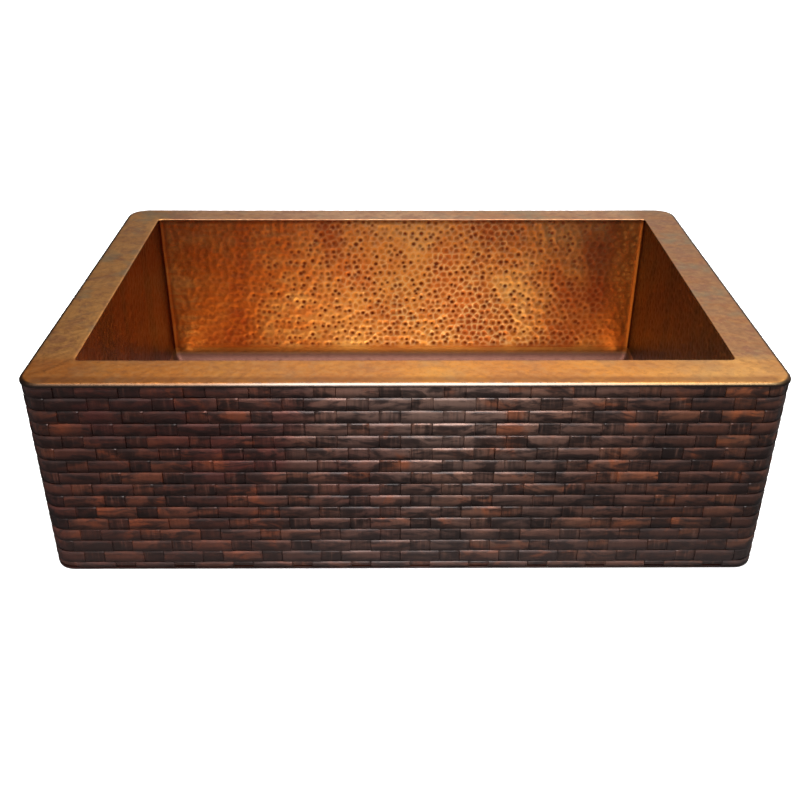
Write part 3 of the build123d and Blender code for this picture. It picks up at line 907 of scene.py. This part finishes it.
def bowl_copper(name, worn=0.0, shade=0.0, dark=(0, 0, 0)):
    """Hammered bowl sheet. Worn is the share of bright metal, and shade the share of painted shade, in the
    colour dark with dark upright streaks, that makes a shaded copy for a side wall.
    """
    n = Nodes(name)
    x, y, z = n.axes()
    broad = n.noise(6.5, 3, 0.5, distortion=0.7)
    mottle = n.noise(20, 4, distortion=0.9)
    blush = n.noise(10, 3, 0.55, stretch=(1, 1, 0.4))
    band = n.noise(26, 3, 0.55, stretch=(1, 1, 0.06))
    ripple = n.noise(46, distortion=0.8, stretch=(0.4, 1, 1.7))
    fine = n.noise(210)
    # centre is 1 in the middle of the wall, where the light falls, and fades to both ends; it weights the
    # pits, the painted ridge highlight and the painted shade to the ends
    centre = n.bell(x, 0.06, 0.42)
    pit = n.times(n.mark("pit"), n.between(centre, 0.02, 0.35, 0.5, 1.3), clamp=True)
    # The back wall's foot and the cove below it, where painted shade dims their reflected light; the cove
    # is also rougher
    foot = n.times(n.between(y, 0.2, 0.21), n.between(z, -0.214, -0.2195, 0, 0.8))
    cove = n.times(n.between(y, 0.205, 0.218), n.between(z, -0.221, -0.23))
    base = n.ramp(broad, [
        (0.3, (216, 140, 84)), (0.45, (238, 184, 110)), (0.58, (254, 220, 148)),
        (0.74, (224, 154, 94)),
    ])
    base = n.layered(base, [
        (n.ramp(mottle, [(0.46, 0), (0.64, 0.5)]), (208, 124, 66)),
        (n.ramp(blush, [(0.5, 0), (0.64, 0.75)]), (160, 78, 54)),
        # Painted highlight: the ridges between blows near white, strongest in the lit middle
        (n.times(n.mark("ridge"), centre), (255, 244, 208)),
        (n.times(n.ramp(ripple, [(0.45, 0), (0.6, 0.75)]), n.between(x, -0.05, -0.2)), (236, 160, 84)),
        (pit, (84, 24, 2)),
        # Painted shade to both ends, away from the lit middle; darker on the sheet's outer side, redder to
        # the right, golden by the right end
        (n.between(centre, 0, 0.8, 0.4, 0), (160, 84, 30)),
        (n.times(n.mark("outer"), 0.5), (118, 66, 44)),
        (n.between(x, 0.14, 0.28, 0, 0.2), (120, 52, 24)),
        (n.between(x, 0.31, 0.35, 0, 0.6), (238, 164, 80)),
        # Painted shade over the left corner's highlight
        (n.between(x, -0.355, -0.364, 0, 0.7), (96, 44, 26)),
        # Painted shade down the wall to its foot, dimming the floor's reflection there, then up it to the
        # painted shade under the rim
        (n.between(z, -0.13, -0.21, 0, 0.28), (128, 66, 34)),
        (foot, (100, 62, 42)),
        (n.between(z, -0.1, -0.01, 0, 0.28), (132, 64, 34)),
        (n.between(z, -0.01, -0.003, 0, 0.7), (70, 32, 22)),
        (n.times(fine, 0.2), (150, 84, 44)),
        (worn, (255, 214, 138)),
        # Painted shade: the cove at the back wall's foot darker and greyer over its bright reflected line
        (n.times(cove, 0.92), (84, 54, 50)),
        # Painted shade for the side walls: a shaded copy of the copper, with dark upright streaks
        (shade, dark),
        (n.times(n.ramp(band, [(0.48, 0), (0.62, 0.6)]), shade), (20, 8, 4)),
    ])
    rough = n.plus(n.times(fine, 0.16), n.times(pit, 0.2))
    rough = n.plus(rough, n.between(cove, 0, 1, 0.24 - 0.08 * worn, 0.5))
    return n.finish(Base_Color=base, Metallic=1, Roughness=rough, Normal=n.bump(fine, 0.25, 0.0004))


def past_rim_corner(n, along, edge):
    """How far a point lies beyond the start of the rim's rounded corners, along one axis."""
    beyond = n.math("SUBTRACT", n.math("ABSOLUTE", along), (edge - CORNER) / MM)
    return n.math("MAXIMUM", beyond, 0)


def rim_copper():
    """Ledges of the rim: amber at the front, brown at the left, rosy tan at the right and back."""
    n = Nodes("rim_copper")
    x, y, z = n.axes()
    broad = n.noise(7, 3, 0.5, distortion=0.5)
    mottle = n.noise(34, 4, distortion=1)
    streak = n.noise(16, stretch=(0.3, 1.4, 1))
    grey = n.noise(17)
    fine = n.noise(260)
    speck = n.noise(110, 3, 0.65)
    front = n.between(y, -0.205, -0.232)
    left = n.between(x, -0.34, -0.372)
    calm = n.between(front, 0, 1, 1, 0.35)
    # The front edge: the brow before its bend, with a painted shadow line; the bend, with a painted
    # highlight tint; and the drop below it, in painted shade
    past_x, past_y = past_rim_corner(n, x, half_width), past_rim_corner(n, y, back_y)
    inboard = n.between(past_x, 0.016, 0.004)
    brow = n.times(n.between(y, -0.258, -0.267), inboard)
    bend = n.times(n.between(y, -0.266, -0.272), n.between(z, -0.0001, -0.0007))
    drop = n.times(bend, n.between(z, -0.001, -0.0026))
    # Painted shade: the dark line round the other edges, and the back ledge's bend into the bowl, dimming
    # its highlight
    middle = n.times(n.between(y, -0.258, -0.274), inboard)
    reach = n.math("SQRT", n.plus(n.math("POWER", past_x, 2), n.math("POWER", past_y, 2)))
    edge_shade = n.math("SUBTRACT", n.between(reach, 0.0194, 0.0222), middle, clamp=True)
    brink_shade = n.times(n.between(y, 0.22, 0.23), n.between(z, -0.0001, -0.0005))
    brink_shade = n.times(brink_shade, n.between(y, 0.236, 0.235))
    amber = n.ramp(broad, [(0.3, (222, 134, 54)), (0.5, (240, 156, 62)), (0.7, (246, 172, 70))])
    amber = n.layered(amber, [
        # Painted light and shade along the front: paler to the right, darker and more orange to the left
        (n.between(x, 0.22, 0.36, 0, 0.6), (244, 186, 106)),
        (n.between(x, 0, -0.32, 0, 0.7), (214, 124, 40)),
    ])
    rosy = n.ramp(broad, [
        (0.3, (206, 150, 112)), (0.5, (220, 168, 124)), (0.7, (206, 146, 104)),
    ])
    rosy = n.layered(rosy, [(left, (242, 176, 98)), (n.between(x, 0.34, 0.372), (180, 128, 84))])
    base = n.layered(n.mix(front, rosy, amber), [
        (n.ramp(streak, [(0.44, 0), (0.62, 0.5)]), (200, 128, 62)),
        (n.times(n.ramp(mottle, [(0.46, 0), (0.62, 0.55)]), calm), (164, 104, 78)),
        (n.ramp(speck, [(0.4, 0.22), (0.5, 0)]), (226, 170, 106)),
        (n.ramp(speck, [(0.5, 0), (0.62, 0.25)]), (146, 92, 52)),
    ])
    base = n.mix(n.times(left, 0.3), base, (0.9, 0.68, 0.36), "MULTIPLY")
    # Painted highlight tint for the front bend: greyish pale in the middle, tan to the right, darker to the
    # left where the lamp's highlight fades
    pale = n.layered(srgb(118, 108, 100), [
        (n.between(x, 0.1, 0.3), (112, 90, 62)), (n.between(x, -0.08, -0.25), (92, 68, 50)),
    ])
    base = n.layered(base, [
        # Painted shade: darker towards the left end
        (n.between(x, -0.3, -0.4, 0, 0.2), (140, 92, 50)),
        # Painted shadow line along the brow above the bend
        (n.times(brow, 0.5), (120, 64, 24)),
        (n.times(n.ramp(grey, [(0.5, 0), (0.66, 0.5)]), calm), (152, 144, 112)),
        (n.times(n.mark("pit"), 0.1), (130, 72, 34)),
        (n.times(fine, 0.3), (150, 96, 56)),
    ])
    # The bend's painted highlight tint, then painted shade on the drop below it
    base = n.layered(n.mix(bend, base, pale), [
        (drop, (60, 50, 46)),
        # Painted shade on the back ledge's bend and along the outer edges
        (n.times(brink_shade, 0.8), (96, 62, 46)),
        (n.times(edge_shade, 0.85), (44, 32, 22)),
        (n.times(n.mark("outer"), 0.5), (118, 66, 44)),
    ])
    rough = n.plus(n.times(fine, 0.2), 0.22)
    return n.finish(Base_Color=base, Metallic=1, Roughness=rough, Normal=n.bump(fine, 0.3, 0.0004))


def apron_copper(name, dark, grain):
    """Woven strap under a near-black patina, wine red to the left and orange brown in patches."""
    n = Nodes(name)
    x, _, z = n.axes()
    tone, low = n.mark("tone"), n.mark("low")
    broad = n.noise(5, 3, 0.55, distortion=0.7)
    mottle = n.noise(21, 4, distortion=0.9)
    cells = n.noise(75, 4, 0.65, distortion=0.6, stretch=(0.35, 1, 1))
    upright = n.noise(250, 3, 0.65, distortion=0.3, stretch=(1, 1, 0.07))
    fine = n.noise(420, 3, 0.65)
    # Painted light: the straps paler in the middle and towards the top, where the lamp's light falls
    painted_light_middle = n.times(n.bell(x, 0.03, 0.32), n.between(z, -0.15, -0.04, 0.22, 0.55))
    wine = n.times(n.between(x, 0.06, -0.16), n.ramp(broad, [(0.42, 0.1), (0.58, 0.8)]))
    rust = n.ramp(n.plus(mottle, n.times(tone, 0.16)), [(0.62, 0), (0.8, 0.7)])
    corner = n.times(n.between(x, -0.08, -0.3), n.between(z, -0.13, -0.03))
    base = n.ramp(tone, [(0, (60, 34, 26)), (0.5, (78, 44, 32)), (1, (98, 56, 36))])
    base = n.layered(base, [
        # Painted light in the middle and towards the top
        (painted_light_middle, (134, 106, 94)),
        (n.times(wine, 0.75), (80, 28, 28)),
        (rust, (134, 68, 34)),
        (n.ramp(cells, [(0.42, 0), (0.6, 0.85)]), (28, 18, 17)),
        (n.times(n.ramp(upright, [(0.42, 0), (0.66, 0.9)]), grain), (24, 15, 13)),
        (n.times(n.ramp(upright, [(0.3, 0.5), (0.44, 0)]), grain), (132, 92, 76)),
        # Painted shade: each course darker towards its lower edge, over the gap beneath it
        (n.between(low, 0.42, 0.85, 0, 0.7), (20, 12, 11)),
        (n.between(z, -0.17, -0.24, 0, 0.3), (78, 66, 64)),
        (n.times(corner, 0.45), (32, 16, 14)),
    ])
    base = n.mix(n.between(x, 0.02, -0.26, 0, 0.6), base, (1, 0.68, 0.58), "MULTIPLY")
    # Painted shade by the share dark: none for the straps, a little for the stakes, which sit back behind
    # them
    base = n.layered(base, [(dark, (28, 18, 16))])
    dull = n.times(n.between(low, 0.16, 0.12), n.between(tone, 0.65, 0.35))
    dull = n.math("MAXIMUM", dull, n.between(z, -0.05, -0.15, 0, 0.65))
    rough = n.plus(n.times(fine, 0.2), n.between(dull, 0, 1, 0.22, 0.42))
    normal = n.bump(n.plus(n.times(fine, 0.4), cells), 0.4, 0.0006)
    coat = {"Coat_Weight": 0.3, "Coat_Roughness": 0.2}
    return n.finish(Base_Color=base, Metallic=0.6, Roughness=rough, Normal=normal, **coat)


def plain_metal(name, light, dark, roughness):
    """Sheet or turned metal with a drawn grain and slight tarnish."""
    n = Nodes(name)
    tarnish = n.noise(18, 4, distortion=0.4)
    grain = n.noise(420, 2, 0.5)
    base = n.mix(n.ramp(tarnish, [(0.35, 0), (0.7, 1)]), srgb(*light), srgb(*dark))
    rough = n.plus(n.times(grain, 0.18), roughness)
    return n.finish(Base_Color=base, Metallic=1.0, Roughness=rough, Normal=n.bump(grain, 0.15, 0.0002))


def soft_matter(name, light, dark, roughness):
    n = Nodes(name)
    speck = n.noise(300)
    base = n.mix(speck, srgb(*light), srgb(*dark))
    return n.finish(Base_Color=base, Roughness=roughness, Normal=n.bump(speck, 0.2, 0.0003))


MATERIAL = {
    "bowl_back": bowl_copper("back_wall_copper"),
    "bowl_front": bowl_copper("front_wall_copper", worn=0.35),
    # The side walls are shaded copies of the copper: their shade is painted
    "bowl_left": bowl_copper("left_wall_copper_painted_shade", shade=0.84, dark=(74, 22, 6)),
    "bowl_right": bowl_copper("right_wall_copper_painted_shade", shade=0.92, dark=(44, 16, 8)),
    "bowl_floor": bowl_copper("floor_copper", worn=0.15),
    "rim": rim_copper(),
    "apron": apron_copper("apron_copper", 0.0, 0.15),
    # The stakes take a little painted shade
    "stake": apron_copper("stake_copper", 0.1, 0.6),
    "weld": plain_metal("weld_copper", (168, 96, 62), (84, 48, 40), 0.3),
    "plain": plain_metal("plain_copper", (150, 84, 56), (92, 50, 38), 0.32),
    "bronze": plain_metal("drain_bronze", (128, 84, 56), (84, 52, 36), 0.25),
    "brass": plain_metal("nut_brass", (198, 168, 98), (150, 118, 64), 0.28),
    "rubber": soft_matter("rubber", (34, 34, 35), (22, 22, 23), 0.6),
    "putty": soft_matter("putty", (196, 190, 176), (168, 160, 146), 0.8),
    "card": soft_matter("friction_card", (166, 140, 106), (132, 108, 80), 0.85),
}

# CAD nodes that show as they are
CAD_NODES = {
    "plain": (
        "apron_backing", "apron_corner_left", "apron_corner_right",
        "apron_return_left", "apron_return_right",
    ),
    "apron": ("apron_hem", "apron_end_left", "apron_end_right"),
    "bronze": ("strainer_body", "strainer_outlet", "basket_floor"),
    "brass": ("lock_nut", "stem_nut", "retaining_clip"),
    "rubber": ("rubber_gasket",),
    "putty": ("putty_ring",),
    "card": ("friction_ring",),
}


def dress_nodes():
    for key, names in CAD_NODES.items():
        for name in names:
            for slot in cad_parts[name].material_slots:
                slot.material = MATERIAL[key]


# ---- camera, light and floor


def look_through_camera():
    """The camera solved from the rim and apron in the photograph."""
    place = Vector((-14.2, -1193.1, 509.2)) / MM
    pitch, yaw, roll = radians(30.05), radians(0.47), radians(0.16)
    forward = Vector((sin(yaw) * cos(pitch), cos(yaw) * cos(pitch), -sin(pitch)))
    right = Vector((cos(yaw), -sin(yaw), 0))
    up = right.cross(forward)
    across = cos(roll) * right + sin(roll) * up
    upward = -sin(roll) * right + cos(roll) * up
    data = bpy.data.cameras.new("photo_camera")
    data.lens, data.sensor_width, data.clip_end = 44.23, 36.0, 50.0
    camera = bpy.data.objects.new("photo_camera", data)
    turn = Matrix((across, upward, -forward)).transposed().to_4x4()
    camera.matrix_world = Matrix.Translation(place) @ turn
    bpy.context.collection.objects.link(camera)
    bpy.context.scene.camera = camera


def softbox(name, place, target, size, power):
    data = bpy.data.lights.new(name, "AREA")
    data.shape = "RECTANGLE"
    data.size, data.size_y = size
    data.energy = power
    lamp = bpy.data.objects.new(name, data)
    lamp.location = place
    lamp.rotation_euler = (Vector(target) - Vector(place)).to_track_quat("-Z", "Y").to_euler()
    bpy.context.collection.objects.link(lamp)


def studio():
    """White to the camera. Reflections see a room that is dim in front and bright behind."""
    world = bpy.data.worlds.new("studio")
    world.use_nodes = True
    bpy.context.scene.world = world
    t = Tree(world.node_tree)
    t.tree.nodes.clear()
    way = t.add("SeparateXYZ", {"Vector": t.add("TexCoord").outputs["Generated"]})
    x, y, z = way.outputs
    rise = t.plus(t.times(z, 0.5), 0.5)
    behind = t.ramp(rise, [
        (0, 0.05), (0.42, 0.24), (0.665, 0.35), (0.688, 0.46), (0.74, 0.86), (0.8, 1.1), (1, 1),
    ], "LINEAR")
    ahead = t.ramp(rise, [
        (0, 0.04), (0.165, 0.07), (0.25, 0.15), (0.345, 0.3), (0.45, 0.42), (0.62, 0.42),
        (0.665, 0.65), (0.69, 0.65), (0.73, 0.36), (1, 0.9),
    ], "LINEAR")
    behind = t.mix(1.0, behind, t.between(x, -0.42, 0.02, 0.2, 1.0), "MULTIPLY")
    glow = t.times(t.bell(x, 0.05, 0.3), t.bell(z, 0.41, 0.07))
    behind = t.mix(glow, behind, (1.05,) * 3)
    room = t.add("Background", {"Color": t.mix(t.between(y, -0.05, 0.4), ahead, behind)})
    white = t.add("Background", {"Color": (1, 1, 1, 1)})
    seen = t.add("LightPath").outputs["Is Camera Ray"]
    choose = t.add("MixShader", {0: seen, 1: room.outputs[0], 2: white.outputs[0]})
    t.add("OutputWorld", {"Surface": choose.outputs[0]})
    softbox("overhead", (0.1, -0.3, 1.35), (0.08, -0.15, 0.0), (1.6, 1.5), 64.0)
    softbox("front_top", (0.09, -1.7, 1.15), (0.04, -0.28, -0.1), (0.62, 0.85), 17.0)
    bpy.context.scene.view_settings.view_transform = "Standard"


def studio_floor():
    """A pale floor at the apron's foot, with a hole that the sink hides for its drain."""
    n = Nodes("floor_paint")
    tint = n.noise(3, 2, 0.5)
    paint = n.mix(tint, (0.86,) * 3, (0.9,) * 3)
    n.finish(Base_Color=paint, Roughness=0.7, Emission_Color=paint, Emission_Strength=0.65)
    reach, hole = 9000.0, 80.0
    ring = [(-1, -1), (1, -1), (1, 1), (-1, 1)]
    outer = [(x * reach, y * reach, hem_foot_z) for x, y in ring]
    inner = [(x * hole, drain_y + y * hole, hem_foot_z) for x, y in ring]
    quads = np.array([(k, (k + 1) % 4, 4 + (k + 1) % 4, 4 + k) for k in range(4)])
    floor = make_object("studio_floor", np.array(outer + inner), quads, n.material)
    floor.visible_glossy = False


look_through_camera()
studio()
studio_floor()
bowl_pieces()
apron_pieces()
weld_pieces()
drain_pieces()
dress_nodes()
